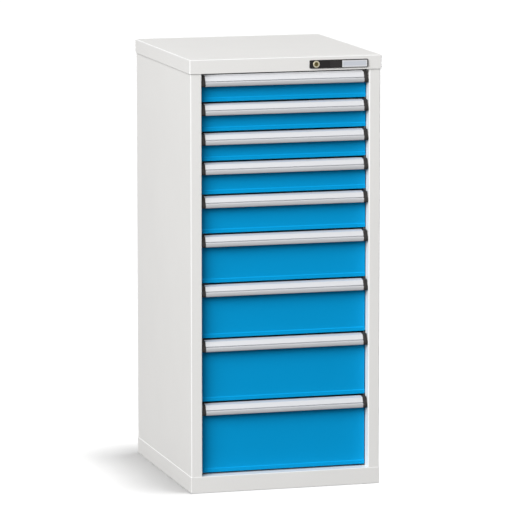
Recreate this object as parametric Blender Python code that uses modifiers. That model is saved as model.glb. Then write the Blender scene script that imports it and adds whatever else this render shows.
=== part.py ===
"""Workshop drawer cabinet: a folded sheet-steel carcass with nine drawers and one lock for all of them.

Metres, +Z up, front towards -Y. The origin is on the floor, under the middle of the whole cabinet's box.
Inside the carcass, y is measured back from the front plane of the posts. Drawer 1 is the top one.
"""

import math

import bmesh
import bpy
from mathutils import Matrix, Vector

# Overall sizes
BODY_WIDTH = 0.585
BODY_DEPTH = 0.650
HEIGHT = 1.300
DRAWER_SHARES = (85.5, 88, 88, 99.5, 117, 149, 166, 192, 216)
SEAT_GAP = 0.0003
CUT_OVERRUN = 0.004
WELD_OVERLAP = 0.0005
MERGE_DISTANCE = 0.00001

# Carcass
CARCASS_SHEET = 0.0015
FOLD_RADIUS = 0.0026
FOLD_STEPS = 2
POST_WIDTH = 0.034
POST_RETURN = 0.012
POST_MARGIN = 0.0015
REAR_FLANGE = 0.022
BACK_SHEET = 0.0012
BACK_EDGE = 0.012
LID_HEIGHT = 0.0418
LID_OVERHANG = 0.003
PLINTH_HEIGHT = 0.050
PLINTH_PROUD = 0.0012
PLINTH_FLANGE = 0.024

# Drawer fronts
FRONT_RECESS = 0.033
FRONT_SIDE_GAP = 0.0016
DRAWER_GAP = 0.0051
LID_GAP = 0.0067
SILL_EXTRA_GAP = 0.0005
FRONT_SHEET = 0.0015
FRONT_DEPTH = 0.012
FRONT_TOP_DROP = 0.0043
LIP_REACH = 0.002
LIP_HEIGHT = 0.0105
LIP_STEP = 0.0024

# Handle rail and its end caps
HANDLE_DROP = 0.0003
HANDLE_HEIGHT = 0.033
HANDLE_WALL = 0.0018
HANDLE_TOP_REACH = 0.019
HANDLE_TOP_FALL = 0.0038
HANDLE_FACE_REACH = 0.0245
HANDLE_FACE_FALL = 0.018
HANDLE_REACH = 0.0275
HANDLE_NOSE_FALL = 0.0205
HANDLE_BACK_HEIGHT = 0.024
HANDLE_CURL = 0.004
CAP_WIDTH = 0.012
CAP_MARGIN = 0.0006
CAP_BEVEL = 0.0007

# Trays and runners
TRAY_SHEET = 0.0012
TRAY_FOLD_RADIUS = 0.0018
TRAY_FLOOR_RAISE = 0.008
TRAY_TOP_DROP = 0.012
TRAY_END_INSET = 0.0008
TRAY_END_DROP = 0.001
DRAWER_TRAVEL = 0.420
RUNNER_ENGAGEMENT = 0.140
RUNNER_SPACE = 0.0135
HOOK_WIDTH = 0.009
HOOK_DROP = 0.018
RAIL_SHEET = 0.0015
RAIL_TOP_CLEARANCE = 0.001
RAIL_LIP_CLEARANCE = 0.001
RAIL_END_INSET = 0.001
WALL_SHEET = 0.0015
WALL_FRONT_CLEARANCE = 0.012
WALL_BACK_CLEARANCE = 0.006
WALL_HEAD_CLEARANCE = 0.004

# Lock strip and label
STRIP_LENGTH = 0.181
STRIP_HEIGHT = 0.0242
STRIP_THICKNESS = 0.004
STRIP_SIDE_MARGIN = 0.0434
STRIP_DROP = 0.0018
STRIP_CORNER = 0.0035
LABEL_LENGTH = 0.078
LABEL_HEIGHT = 0.0208
LABEL_MARGIN = 0.003
LABEL_DROP = 0.0008
LABEL_RECESS = 0.001
LABEL_THICKNESS = 0.0006

# Lock
LOCK_INSET = 0.020
BEZEL_RADIUS = 0.0103
BEZEL_PROUD = 0.0012
BARREL_RADIUS = 0.0088
BARREL_LENGTH = 0.022
CORE_RADIUS = 0.006
CORE_RECESS = 0.0004
KEYWAY_WIDTH = 0.0016
KEYWAY_LENGTH = 0.008
KEYWAY_DEPTH = 0.004
ROUND_SIDES = 32
CAM_THICKNESS = 0.003
CAM_HEIGHT = 0.008
CAM_SETBACK = 0.001
CAM_THROW = 0.008
PIN_RADIUS = 0.002
PIN_OVERRUN = 0.001

# Locking bar, behind the right post
BAR_THICKNESS = 0.003
BAR_WIDTH = 0.018
BAR_CLEARANCE = 0.0005
BAR_SIDE_CLEARANCE = 0.0035
BAR_FOOT_CLEARANCE = 0.018
ARM_HEIGHT = 0.010
FORK_CLEARANCE = 0.0005
FORK_PRONG = 0.003
FORK_LEAD = 0.003
CATCH_HEIGHT = 0.008
CATCH_SIDE_CLEARANCE = 0.0006
CATCH_CLEARANCE = 0.0015
LUG_REACH = 0.0018
LUG_LENGTH = 0.004
LUG_HEIGHT = 0.008
LUG_DROP = 0.008

# Places worked out from the sizes above
STACK_HEIGHT = HEIGHT - LID_HEIGHT - LID_GAP - PLINTH_HEIGHT - SILL_EXTRA_GAP
OPENING_HALF = BODY_WIDTH / 2 - POST_WIDTH
STRIP_FACE = -LID_OVERHANG - SEAT_GAP - STRIP_THICKNESS
FRONT_REACH = STRIP_FACE - SEAT_GAP - BEZEL_PROUD
BACK_REACH = BODY_DEPTH + LID_OVERHANG
FRONT_PLANE_Y = -(FRONT_REACH + BACK_REACH) / 2
POST_DEPTH = FRONT_RECESS + POST_MARGIN
FRONT_BACK = FRONT_RECESS + FRONT_DEPTH + POST_MARGIN
PANEL_FOOT = PLINTH_HEIGHT + SEAT_GAP
PANEL_HEAD = HEIGHT - CARCASS_SHEET - SEAT_GAP
FRONT_HALF = OPENING_HALF - FRONT_SIDE_GAP
TRAY_HALF = OPENING_HALF - RUNNER_SPACE
TRAY_LENGTH = DRAWER_TRAVEL + RUNNER_ENGAGEMENT
TRAY_START = FRONT_DEPTH + SEAT_GAP
WALL_START = FRONT_BACK + WALL_FRONT_CLEARANCE
WALL_END = FRONT_RECESS + TRAY_START + TRAY_LENGTH + WALL_BACK_CLEARANCE
STRIP_RIGHT = BODY_WIDTH / 2 + LID_OVERHANG - STRIP_SIDE_MARGIN
STRIP_LEFT = STRIP_RIGHT - STRIP_LENGTH
STRIP_Z = HEIGHT - LID_HEIGHT / 2 - STRIP_DROP
LOCK_X = STRIP_LEFT + LOCK_INSET
BAR_FACE = FRONT_BACK + BAR_CLEARANCE

# Colours, as red, green and blue on a screen
LIGHT_GREY = "E6E5E3"
BLUE = "008FC9"
SILVER = "D9DBE0"
BLACK = "3A3836"
ZINC = "BEC0C1"
PAPER = "CDD2D7"
NICKEL = "C2BA9C"
BRASS = "857A4A"


def clear_scene():
    for old in list(bpy.data.objects):
        bpy.data.objects.remove(old, do_unlink=True)


def make_collection(name):
    made = bpy.data.collections.new(name)
    bpy.context.scene.collection.children.link(made)
    return made


def linear(screen_colour):
    """The linear red, green and blue of a colour that is written as six hexadecimal digits."""
    shares = (int(screen_colour[start:start + 2], 16) / 255 for start in (0, 2, 4))
    return [share / 12.92 if share <= 0.04045 else ((share + 0.055) / 1.055) ** 2.4 for share in shares]


def make_material(name, screen_colour, roughness, metallic=0.0):
    colour = linear(screen_colour)
    material = bpy.data.materials.new(name)
    material.use_nodes = True
    shader = material.node_tree.nodes["Principled BSDF"]
    shader.inputs["Base Color"].default_value = (*colour, 1.0)
    shader.inputs["Roughness"].default_value = roughness
    shader.inputs["Metallic"].default_value = metallic
    material.diffuse_color = (*colour, 1.0)
    return material


def make_empty(name, place, parent=None):
    empty = bpy.data.objects.new(name, None)
    empty.location = place
    empty.parent = parent
    PARTS.objects.link(empty)
    return empty


def make_object(name, bm, parent, place=(0, 0, 0), material=None, smooth=False):
    mesh = bpy.data.meshes.new(name)
    bm.to_mesh(mesh)
    bm.free()
    if smooth:
        mesh.shade_smooth()
        mesh.set_sharp_from_angle(angle=math.radians(40))
    made = bpy.data.objects.new(name, mesh)
    made.parent = parent
    made.location = place
    if material:
        mesh.materials.append(material)
        PARTS.objects.link(made)
    else:
        made.hide_render = True
        made.display_type = "WIRE"
        CUTTERS.objects.link(made)
    return made


def add_boolean(target, tool, operation):
    modifier = target.modifiers.new(operation.lower(), "BOOLEAN")
    modifier.operation = operation
    modifier.solver = "EXACT"
    modifier.object = tool


def add_wall(target, thickness):
    """A wall that grows behind the surface, away from its normals."""
    modifier = target.modifiers.new("wall", "SOLIDIFY")
    modifier.thickness = thickness
    modifier.offset = -1
    modifier.use_even_offset = True


def add_bevel(target, width, segments):
    modifier = target.modifiers.new("folds", "BEVEL")
    modifier.width = width
    modifier.segments = segments
    modifier.limit_method = "ANGLE"
    modifier.use_clamp_overlap = True


def folded(points, radius, steps=FOLD_STEPS):
    """The open path with each of its inner corners turned into an arc of this radius."""
    corners = [Vector(point) for point in points]
    path = [corners[0]]
    for before, corner, after in zip(corners, corners[1:], corners[2:]):
        towards = (before - corner).normalized()
        onwards = (after - corner).normalized()
        half_angle = towards.angle(onwards) / 2
        centre = corner + (towards + onwards).normalized() * radius / math.sin(half_angle)
        first = corner + towards * radius / math.tan(half_angle) - centre
        last = corner + onwards * radius / math.tan(half_angle) - centre
        turn = math.atan2(first.cross(last), first.dot(last))
        start = math.atan2(first.y, first.x)
        for step in range(steps + 1):
            angle = start + turn * step / steps
            path.append(centre + radius * Vector((math.cos(angle), math.sin(angle))))
    return path + [corners[-1]]


def in_space(point, along, distance):
    """A point of a flat drawing, at a distance along the axis that the drawing is swept on."""
    first, second = point
    if along == "X":
        return Vector((distance, first, second))
    if along == "Y":
        return Vector((first, distance, second))
    return Vector((first, second, distance))


def sweep_path(bm, path, along, start, end):
    """Adds an open surface whose normals point to the left of the drawn path."""
    points = [bm.verts.new(in_space(point, along, start)) for point in path]
    edges = [bm.edges.new(pair) for pair in zip(points, points[1:])]
    swept = bmesh.ops.extrude_edge_only(bm, edges=edges)["geom"]
    shift = in_space((0, 0), along, end - start)
    bmesh.ops.translate(bm, vec=shift, verts=[item for item in swept if isinstance(item, bmesh.types.BMVert)])
    faces = [item for item in swept if isinstance(item, bmesh.types.BMFace)]
    bmesh.ops.recalc_face_normals(bm, faces=faces)
    step = Vector(path[1]) - Vector(path[0])
    left = in_space((-step.y, step.x), along, 0)
    first_face = next(face for face in points[0].link_faces)
    first_face.normal_update()
    if first_face.normal.dot(left) < 0:
        bmesh.ops.reverse_faces(bm, faces=faces)


def sheet(name, path, along, start, end, thickness, parent, material, place=(0, 0, 0)):
    """A folded sheet: the path is its left-hand surface, and the metal is to the path's right."""
    bm = bmesh.new()
    sweep_path(bm, path, along, start, end)
    made = make_object(name, bm, parent, place, material)
    add_wall(made, thickness)
    return made


def prism(outline, along, start, end):
    bm = bmesh.new()
    face = bm.faces.new([bm.verts.new(in_space(point, along, start)) for point in outline])
    swept = bmesh.ops.extrude_face_region(bm, geom=[face])["geom"]
    shift = in_space((0, 0), along, end - start)
    bmesh.ops.translate(bm, vec=shift, verts=[item for item in swept if isinstance(item, bmesh.types.BMVert)])
    bmesh.ops.recalc_face_normals(bm, faces=bm.faces)
    return bm


def block(low, high):
    """A box between two corners."""
    size = Vector(high) - Vector(low)
    middle = (Vector(high) + Vector(low)) / 2
    bm = bmesh.new()
    bmesh.ops.create_cube(bm, size=1, matrix=Matrix.Translation(middle) @ Matrix.Diagonal((*size, 1)))
    return bm


def cylinder(radius, start, end, x=0.0, z=0.0):
    """A closed cylinder along Y."""
    bm = bmesh.new()
    turn = Matrix.Rotation(math.radians(90), 4, "X")
    place = Matrix.Translation((x, (start + end) / 2, z))
    bmesh.ops.create_cone(
        bm, cap_ends=True, segments=ROUND_SIDES, radius1=radius, radius2=radius, depth=end - start,
        matrix=place @ turn,
    )
    return bm


def drop_face(bm, direction):
    """Opens a closed shape on the side that looks along the direction."""
    bm.normal_update()
    furthest = max(bm.faces, key=lambda face: face.normal.dot(Vector(direction)))
    bmesh.ops.delete(bm, geom=[furthest], context="FACES_ONLY")


def rounded_rectangle(low, high, radius, steps):
    """A rectangle's outline with a quarter arc at each corner."""
    centres = (
        (high[0] - radius, high[1] - radius), (low[0] + radius, high[1] - radius),
        (low[0] + radius, low[1] + radius), (high[0] - radius, low[1] + radius),
    )
    outline = []
    for quarter, centre in enumerate(centres):
        for step in range(steps + 1):
            angle = math.radians(90) * (quarter + step / steps)
            outline.append((centre[0] + radius * math.cos(angle), centre[1] + radius * math.sin(angle)))
    return outline


def make_side_panel(name, side):
    """One sheet folded into the post, the side and the rear flange; side is -1 for left and 1 for right."""
    outer = BODY_WIDTH / 2
    corners = [
        (outer - REAR_FLANGE, BODY_DEPTH),
        (outer, BODY_DEPTH),
        (outer, 0),
        (OPENING_HALF, 0),
        (OPENING_HALF, POST_DEPTH),
        (OPENING_HALF + POST_RETURN, POST_DEPTH),
    ]
    path = [(side * x, y) for x, y in folded(corners, FOLD_RADIUS)]
    if side < 0:
        path.reverse()
    sheet(name, path, "Z", PANEL_FOOT, PANEL_HEAD, CARCASS_SHEET, CABINET, PAINT)


def make_back_panel():
    half = BODY_WIDTH / 2 - FOLD_RADIUS - SEAT_GAP
    back = BODY_DEPTH - CARCASS_SHEET - SEAT_GAP
    bm = block((-half, back - BACK_EDGE, PANEL_FOOT), (half, back, PANEL_HEAD))
    drop_face(bm, (0, -1, 0))
    panel = make_object("back_panel", bm, CABINET, material=PAINT)
    add_wall(panel, BACK_SHEET)


def make_top_cover():
    half = BODY_WIDTH / 2 + LID_OVERHANG
    foot = HEIGHT - LID_HEIGHT
    bm = block((-half, -LID_OVERHANG, foot), (half, BODY_DEPTH + LID_OVERHANG, HEIGHT))
    drop_face(bm, (0, 0, -1))
    cover = make_object("top_cover", bm, CABINET, material=PAINT)
    add_bevel(cover, FOLD_RADIUS, FOLD_STEPS)
    add_wall(cover, CARCASS_SHEET)
    hole = cylinder(BARREL_RADIUS + SEAT_GAP, -LID_OVERHANG - CUT_OVERRUN, CUT_OVERRUN, LOCK_X, STRIP_Z)
    add_boolean(cover, make_object("barrel_hole", hole, CABINET), "DIFFERENCE")


def make_base_plinth():
    """A tray turned upside down, with a flange along the foot of each wall."""
    half = BODY_WIDTH / 2 + PLINTH_PROUD
    bm = block((-half, -PLINTH_PROUD, 0), (half, BODY_DEPTH, PLINTH_HEIGHT))
    drop_face(bm, (0, 0, -1))
    rim = [edge for edge in bm.edges if edge.is_boundary]
    turned = bmesh.ops.extrude_edge_only(bm, edges=rim)["geom"]
    middle = Vector((0, (BODY_DEPTH - PLINTH_PROUD) / 2, 0))
    for vert in (item for item in turned if isinstance(item, bmesh.types.BMVert)):
        vert.co.x -= math.copysign(PLINTH_FLANGE, vert.co.x)
        vert.co.y -= math.copysign(PLINTH_FLANGE, vert.co.y - middle.y)
    plinth = make_object("base_plinth", bm, CABINET, material=PAINT)
    add_bevel(plinth, FOLD_RADIUS, FOLD_STEPS)
    add_wall(plinth, CARCASS_SHEET)


def drawer_feet():
    """The height of each front's lower edge, with the height of the front, from the top drawer down."""
    top = HEIGHT - LID_HEIGHT - LID_GAP
    for share in DRAWER_SHARES:
        pitch = STACK_HEIGHT * share / sum(DRAWER_SHARES)
        yield top - pitch + DRAWER_GAP, pitch - DRAWER_GAP
        top -= pitch


def make_runner_wall(name, side):
    """The inner wall beside the trays, with one channel for each drawer's runner hook."""
    outside = BODY_WIDTH / 2 - CARCASS_SHEET - SEAT_GAP
    inside = OPENING_HALF + WALL_SHEET
    corners = [(outside, WALL_START), (inside, WALL_START), (inside, WALL_END), (outside, WALL_END)]
    path = [(side * x, y) for x, y in folded(corners, FOLD_RADIUS)]
    if side > 0:
        path.reverse()
    head = HEIGHT - LID_HEIGHT - WALL_HEAD_CLEARANCE
    wall = sheet(name, path, "Z", PANEL_FOOT, head, WALL_SHEET, CABINET, PLATED)
    channels = bmesh.new()
    back = OPENING_HALF - RAIL_SHEET + WELD_OVERLAP
    front = TRAY_HALF + RAIL_LIP_CLEARANCE
    for foot, height in drawer_feet():
        tray_top = foot + height - TRAY_TOP_DROP
        low = tray_top - HOOK_DROP - SEAT_GAP
        high = tray_top + RAIL_TOP_CLEARANCE
        channel = [(side * front, low), (side * back, low), (side * back, high), (side * front, high)]
        if side < 0:
            channel.reverse()
        sweep_path(channels, channel, "Y", WALL_START + RAIL_END_INSET, WALL_END - RAIL_END_INSET)
    rails = make_object(name + "_channels", channels, CABINET)
    add_wall(rails, RAIL_SHEET)
    add_boolean(wall, rails, "UNION")


def make_front(name, height, slide):
    """The blue front: a shallow pan, open at the back, whose lower edge steps forward as a lip."""
    top = height - FRONT_TOP_DROP
    outline = [
        (FRONT_DEPTH, top), (0, top), (0, LIP_HEIGHT + LIP_STEP), (-LIP_REACH, LIP_HEIGHT),
        (-LIP_REACH, 0), (FRONT_DEPTH, 0),
    ]
    bm = prism(outline, "X", -FRONT_HALF, FRONT_HALF)
    drop_face(bm, (0, 1, 0))
    front = make_object(name, bm, slide, material=BLUE_PAINT)
    add_wall(front, FRONT_SHEET)


def make_handle(name, height, slide):
    """The extruded rail: a back plate that stands above the front, sloping grip face and nose, open below."""
    top = height - HANDLE_DROP
    profile = [
        (HANDLE_CURL - HANDLE_REACH, top - HANDLE_HEIGHT), (-HANDLE_REACH, top - HANDLE_HEIGHT),
        (-HANDLE_REACH, top - HANDLE_NOSE_FALL), (-HANDLE_FACE_REACH, top - HANDLE_FACE_FALL),
        (-HANDLE_TOP_REACH, top - HANDLE_TOP_FALL), (-SEAT_GAP, top), (-SEAT_GAP, top - HANDLE_BACK_HEIGHT),
    ]
    half = FRONT_HALF - CAP_WIDTH - SEAT_GAP
    sheet(name, profile, "X", -half, half, HANDLE_WALL, slide, ALUMINIUM)


def make_cap(name, height, side, slide):
    """The moulded end cap, a little larger than the handle's profile and closed all over."""
    top = height - HANDLE_DROP + CAP_MARGIN
    foot = top - HANDLE_HEIGHT - 2 * CAP_MARGIN
    nose = -HANDLE_REACH - CAP_MARGIN
    outline = [
        (-SEAT_GAP, top), (-HANDLE_TOP_REACH, top - HANDLE_TOP_FALL),
        (-HANDLE_FACE_REACH - CAP_MARGIN, top - HANDLE_FACE_FALL), (nose, top - HANDLE_NOSE_FALL),
        (nose, foot), (-SEAT_GAP, foot),
    ]
    ends = sorted((side * (FRONT_HALF - CAP_WIDTH), side * FRONT_HALF))
    cap = make_object(name, prism(outline, "X", *ends), slide, material=PLASTIC)
    add_bevel(cap, CAP_BEVEL, 1)


def make_tray(name, height, slide):
    """Floor, sides and runner hooks folded from one sheet, with the end walls and two lock lugs welded on."""
    top = height - TRAY_TOP_DROP
    hook = TRAY_HALF + HOOK_WIDTH
    right = [
        (TRAY_HALF, TRAY_FLOOR_RAISE), (TRAY_HALF, top - TRAY_SHEET), (hook, top - TRAY_SHEET),
        (hook, top - HOOK_DROP),
    ]
    corners = [(-x, z) for x, z in reversed(right)] + right
    path = folded(corners, TRAY_FOLD_RADIUS)
    end = TRAY_START + TRAY_LENGTH
    path.reverse()
    tray = sheet(name, path, "Y", TRAY_START, end, TRAY_SHEET, slide, PLATED)
    side_face = TRAY_HALF - TRAY_SHEET + WELD_OVERLAP
    floor_face = TRAY_FLOOR_RAISE + TRAY_SHEET - WELD_OVERLAP
    for word, near in (("front", TRAY_START + TRAY_END_INSET), ("back", end - TRAY_END_INSET - TRAY_SHEET)):
        plate = block((-side_face, near, floor_face), (side_face, near + TRAY_SHEET, top - TRAY_END_DROP))
        add_boolean(tray, make_object(name + "_" + word + "_wall", plate, slide), "UNION")
    lug_front = BAR_FACE + BAR_THICKNESS + CATCH_SIDE_CLEARANCE - FRONT_RECESS
    lug_foot = top - LUG_DROP - LUG_HEIGHT
    lug = block(
        (hook + TRAY_SHEET - WELD_OVERLAP, lug_front, lug_foot),
        (hook + TRAY_SHEET + LUG_REACH, lug_front + LUG_LENGTH, lug_foot + LUG_HEIGHT),
    )
    add_boolean(tray, make_object(name + "_lock_lug", lug, slide), "UNION")


def make_drawer(number, foot, height):
    name = "drawer_%d" % number
    slide = make_empty(name + "_slide", (0, FRONT_RECESS, foot), CABINET)
    make_tray(name + "_tray", height, slide)
    make_front(name + "_front", height, slide)
    make_handle(name + "_handle", height, slide)
    make_cap(name + "_left_cap", height, -1, slide)
    make_cap(name + "_right_cap", height, 1, slide)


def make_lock_strip():
    """The black strip on the cover's front, with a seat for the lock and a field for a label."""
    low, high = STRIP_Z - STRIP_HEIGHT / 2, STRIP_Z + STRIP_HEIGHT / 2
    outline = rounded_rectangle((STRIP_LEFT, low), (STRIP_RIGHT, high), STRIP_CORNER, FOLD_STEPS)
    back = -LID_OVERHANG - SEAT_GAP
    strip = make_object("lock_strip", prism(outline, "Y", STRIP_FACE, back), CABINET, material=PLASTIC)
    hole = cylinder(BARREL_RADIUS + SEAT_GAP, STRIP_FACE - CUT_OVERRUN, back + CUT_OVERRUN, LOCK_X, STRIP_Z)
    add_boolean(strip, make_object("strip_hole", hole, CABINET), "DIFFERENCE")
    right = STRIP_RIGHT - LABEL_MARGIN
    left = right - LABEL_LENGTH
    foot = STRIP_Z - LABEL_DROP - LABEL_HEIGHT / 2
    head = foot + LABEL_HEIGHT
    floor = STRIP_FACE + LABEL_RECESS
    field = block((left, STRIP_FACE - CUT_OVERRUN, foot), (right, floor, head))
    add_boolean(strip, make_object("label_field", field, CABINET), "DIFFERENCE")
    card = block(
        (left + SEAT_GAP, floor - SEAT_GAP - LABEL_THICKNESS, foot + SEAT_GAP),
        (right - SEAT_GAP, floor - SEAT_GAP, head - SEAT_GAP),
    )
    make_object("label_card", card, CABINET, material=LABEL_PAPER)


def make_lock_barrel():
    """The lock's fixed part: a bezel ring in front of the strip and a tube through the cover."""
    bore = CORE_RADIUS + SEAT_GAP
    profile = [
        (bore, FRONT_REACH), (bore, FRONT_REACH + BARREL_LENGTH),
        (BARREL_RADIUS, FRONT_REACH + BARREL_LENGTH), (BARREL_RADIUS, FRONT_REACH + BEZEL_PROUD),
        (BEZEL_RADIUS, FRONT_REACH + BEZEL_PROUD), (BEZEL_RADIUS, FRONT_REACH),
    ]
    bm = bmesh.new()
    points = [bm.verts.new((radius, y, 0)) for radius, y in profile]
    for pair in zip(points, points[1:] + points[:1]):
        bm.edges.new(pair)
    barrel = make_object("lock_barrel", bm, CABINET, (LOCK_X, 0, STRIP_Z), LOCK_METAL, smooth=True)
    turned = barrel.modifiers.new("turned", "SCREW")
    turned.axis = "Y"
    turned.steps = ROUND_SIDES
    turned.render_steps = ROUND_SIDES
    turned.use_merge_vertices = True
    turned.merge_threshold = MERGE_DISTANCE


def make_lock_core():
    """The plug that the key turns, with the cam on its tail whose pin lifts and lowers the locking bar."""
    pivot = make_empty("lock_pivot", (LOCK_X, 0, STRIP_Z), CABINET)
    cam_back = BAR_FACE - CAM_SETBACK
    cam_front = cam_back - CAM_THICKNESS
    face = FRONT_REACH + CORE_RECESS
    tail = cam_front + WELD_OVERLAP
    core = make_object(
        "lock_core", cylinder(CORE_RADIUS, face, tail), pivot, material=LOCK_BRASS, smooth=True
    )
    half = CAM_HEIGHT / 2
    cam = block((-half, cam_front, -half), (CAM_THROW + half, cam_back, half))
    add_boolean(core, make_object("lock_cam", cam, pivot), "UNION")
    pin_end = BAR_FACE + BAR_THICKNESS + PIN_OVERRUN
    pin = cylinder(PIN_RADIUS, cam_back - WELD_OVERLAP, pin_end, CAM_THROW)
    add_boolean(core, make_object("lock_pin", pin, pivot), "UNION")
    keyway = block(
        (-KEYWAY_WIDTH / 2, face - CUT_OVERRUN, -KEYWAY_LENGTH / 2),
        (KEYWAY_WIDTH / 2, face + KEYWAY_DEPTH, KEYWAY_LENGTH / 2),
    )
    add_boolean(core, make_object("keyway", keyway, pivot), "DIFFERENCE")


def pin_dip():
    """How far the pin runs ahead of the bar halfway, as the bar falls evenly and the pin on an arc."""
    fall = CAM_THROW / math.radians(90)
    turn = math.acos(fall / CAM_THROW)
    return CAM_THROW * math.sin(turn) - fall * turn


def make_lock_bar():
    """The flat locking bar: a forked arm at the pin, an upright behind the right post, a catch at each drawer."""
    inner = OPENING_HALF + BAR_SIDE_CLEARANCE
    outer = inner + BAR_WIDTH
    foot = PLINTH_HEIGHT + BAR_FOOT_CLEARANCE
    slot_high = STRIP_Z + PIN_RADIUS + FORK_CLEARANCE
    slot_low = STRIP_Z - PIN_RADIUS - FORK_CLEARANCE - pin_dip()
    head = slot_high + FORK_PRONG
    fork_foot = slot_low - FORK_PRONG
    fork_end = LOCK_X - PIN_RADIUS - FORK_CLEARANCE - FORK_LEAD
    slot_end = LOCK_X + CAM_THROW + PIN_RADIUS + FORK_CLEARANCE
    arm_start = slot_end + FORK_PRONG
    outline = [
        (outer, foot), (outer, head), (fork_end, head), (fork_end, slot_high), (slot_end, slot_high),
        (slot_end, slot_low), (fork_end, slot_low), (fork_end, fork_foot), (arm_start, fork_foot),
        (arm_start, head - ARM_HEIGHT), (inner, head - ARM_HEIGHT),
    ]
    tip = TRAY_HALF + HOOK_WIDTH + TRAY_SHEET + CATCH_SIDE_CLEARANCE
    for drawer_foot, height in drawer_feet():
        low = drawer_foot + height - TRAY_TOP_DROP - LUG_DROP + CATCH_CLEARANCE
        high = low + CATCH_HEIGHT
        outline += [(inner, high), (tip, high), (tip, low), (inner, low)]
    outline.append((inner, foot))
    bar = prism(outline, "Y", BAR_FACE, BAR_FACE + BAR_THICKNESS)
    make_object("lock_bar", bar, CABINET, material=PLATED)


clear_scene()
PARTS = make_collection("workshop_drawer_cabinet")
CUTTERS = make_collection("cutters_and_weld_pieces")
PAINT = make_material("light_grey_powder_coat", LIGHT_GREY, 0.45)
BLUE_PAINT = make_material("blue_powder_coat", BLUE, 0.45)
ALUMINIUM = make_material("anodised_aluminium", SILVER, 0.35, 1.0)
PLASTIC = make_material("black_moulded_plastic", BLACK, 0.5)
PLATED = make_material("zinc_plated_steel", ZINC, 0.4, 1.0)
LABEL_PAPER = make_material("label_paper", PAPER, 0.8)
LOCK_METAL = make_material("nickel_plated_zinc", NICKEL, 0.3, 1.0)
LOCK_BRASS = make_material("brass_plug", BRASS, 0.35, 1.0)
CABINET = make_empty("cabinet_front_plane", (0, FRONT_PLANE_Y, 0))

make_side_panel("left_side_panel", -1)
make_side_panel("right_side_panel", 1)
make_back_panel()
make_top_cover()
make_base_plinth()
make_runner_wall("left_runner_wall", -1)
make_runner_wall("right_runner_wall", 1)
make_lock_strip()
make_lock_barrel()
make_lock_core()
make_lock_bar()
for drawer_number, (front_foot, front_height) in enumerate(drawer_feet(), start=1):
    make_drawer(drawer_number, front_foot, front_height)
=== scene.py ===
"""Workshop drawer cabinet: powder-coated sheet steel, nine drawers with full-width handle rails, one lock.

Metres, +Z up, front towards -Y. Every size that the frame already has is read from the frame's own boxes.
"""

import math

import bmesh
import bpy
from mathutils import Matrix, Vector


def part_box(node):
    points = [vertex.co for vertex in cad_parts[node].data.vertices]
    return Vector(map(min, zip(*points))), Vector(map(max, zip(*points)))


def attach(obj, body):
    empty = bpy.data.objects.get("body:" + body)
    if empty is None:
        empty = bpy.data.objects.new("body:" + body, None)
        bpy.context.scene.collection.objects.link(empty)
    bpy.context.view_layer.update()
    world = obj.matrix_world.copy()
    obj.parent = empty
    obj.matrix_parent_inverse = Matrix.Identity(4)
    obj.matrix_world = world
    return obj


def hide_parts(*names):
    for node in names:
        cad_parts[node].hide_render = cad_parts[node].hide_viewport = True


bl_info = {
    "name": "Workshop Drawer Cabinet",
    "version": (1, 0, 0),
    "blender": (4, 5, 0),
    "location": "3D View > Sidebar > Cabinet",
    "description": "Builds a nine-drawer workshop cabinet of powder-coated sheet steel",
    "category": "Add Mesh",
}

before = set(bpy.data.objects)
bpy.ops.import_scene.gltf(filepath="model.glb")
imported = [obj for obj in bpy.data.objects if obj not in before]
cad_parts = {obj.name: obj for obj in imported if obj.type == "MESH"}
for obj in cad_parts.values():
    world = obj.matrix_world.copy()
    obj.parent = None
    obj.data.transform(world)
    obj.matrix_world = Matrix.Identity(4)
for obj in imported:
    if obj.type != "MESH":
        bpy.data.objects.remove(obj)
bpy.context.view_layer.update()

DRAWERS = range(1, 10)
SIDES = {"left": -1, "right": 1}
SMOOTH_ANGLE = math.radians(38)

# Small distances that are no settings, in metres
SEAT_GAP = 0.0003  # between pieces that touch, and the width of small chamfers
POST_GAP = 0.0016  # between the drawer fronts and the posts' reveal
HOLE_MARGIN = 0.0031  # from the lock's plug to the edge of the holes for the lock
COVER_CUT, STRIP_CUT = 0.010, 0.004  # how far the cutters reach past the cover's front and the strip
RIVET_SINK, RIVET_ROOM = 0.0002, 0.060  # depth in the flange, and what both ends of a column share
TRAY_BAND_FOOT, TRAY_BAND_HEAD = 0.004, 0.003  # from the trays' folds to their slotted walls
TRAY_END_INSET, TRAY_END_DROP = 0.0008, 0.001  # of the trays' end walls
SLOT_END_ROOM, SLOT_EDGE_ROOM = 0.030, 0.008  # along and across a tray's wall, kept free of slots
LUG_LEAST, LUG_CLEARANCE, LUG_THICKNESS = 0.0005, 0.0006, 0.004  # of a tray's lug, behind the locking bar
LUG_HEAD_DROP, LUG_FOOT_DROP = 0.008, 0.016  # both below the tray's top
SMALL_CORNER, FIELD_CORNER, SMALL_CORNER_STEPS = 0.0006, 0.0008, 3  # of the card, the seat and the keyway
SEAT_SHEET = 0.0008  # thickness of the lock's seat
LINE_WIDTH, LINE_OFFSET = 0.0009, 0.0015  # the thin groove beside the label
BORDER_FRONT, BORDER_BACK = 0.0002, 0.00005  # of the label's border, before the card
BEZEL_FLANGE = 0.0015  # by which the bezel's rim is wider than its barrel
CAM_REACH_BACK = 0.0072  # from the cam's front to the pin's end
CAM_THICKNESS, CAM_HALF_WIDTH, CAM_CORNER = 0.003, 0.004, 0.002
PIN_RADIUS, PIN_START, PLUG_OVERLAP = 0.002, 0.0015, 0.0005  # the last two behind the cam's front
KEYWAY_HALF_WIDTH, KEYWAY_HALF_HEIGHT, KEYWAY_DEPTH = 0.0008, 0.004, 0.004

# The bezel's mouth: how far outside the plug and behind the bezel's face
BEZEL_MOUTH = ((0.0007, 0.0), (0.0004, 0.0001))
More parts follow.
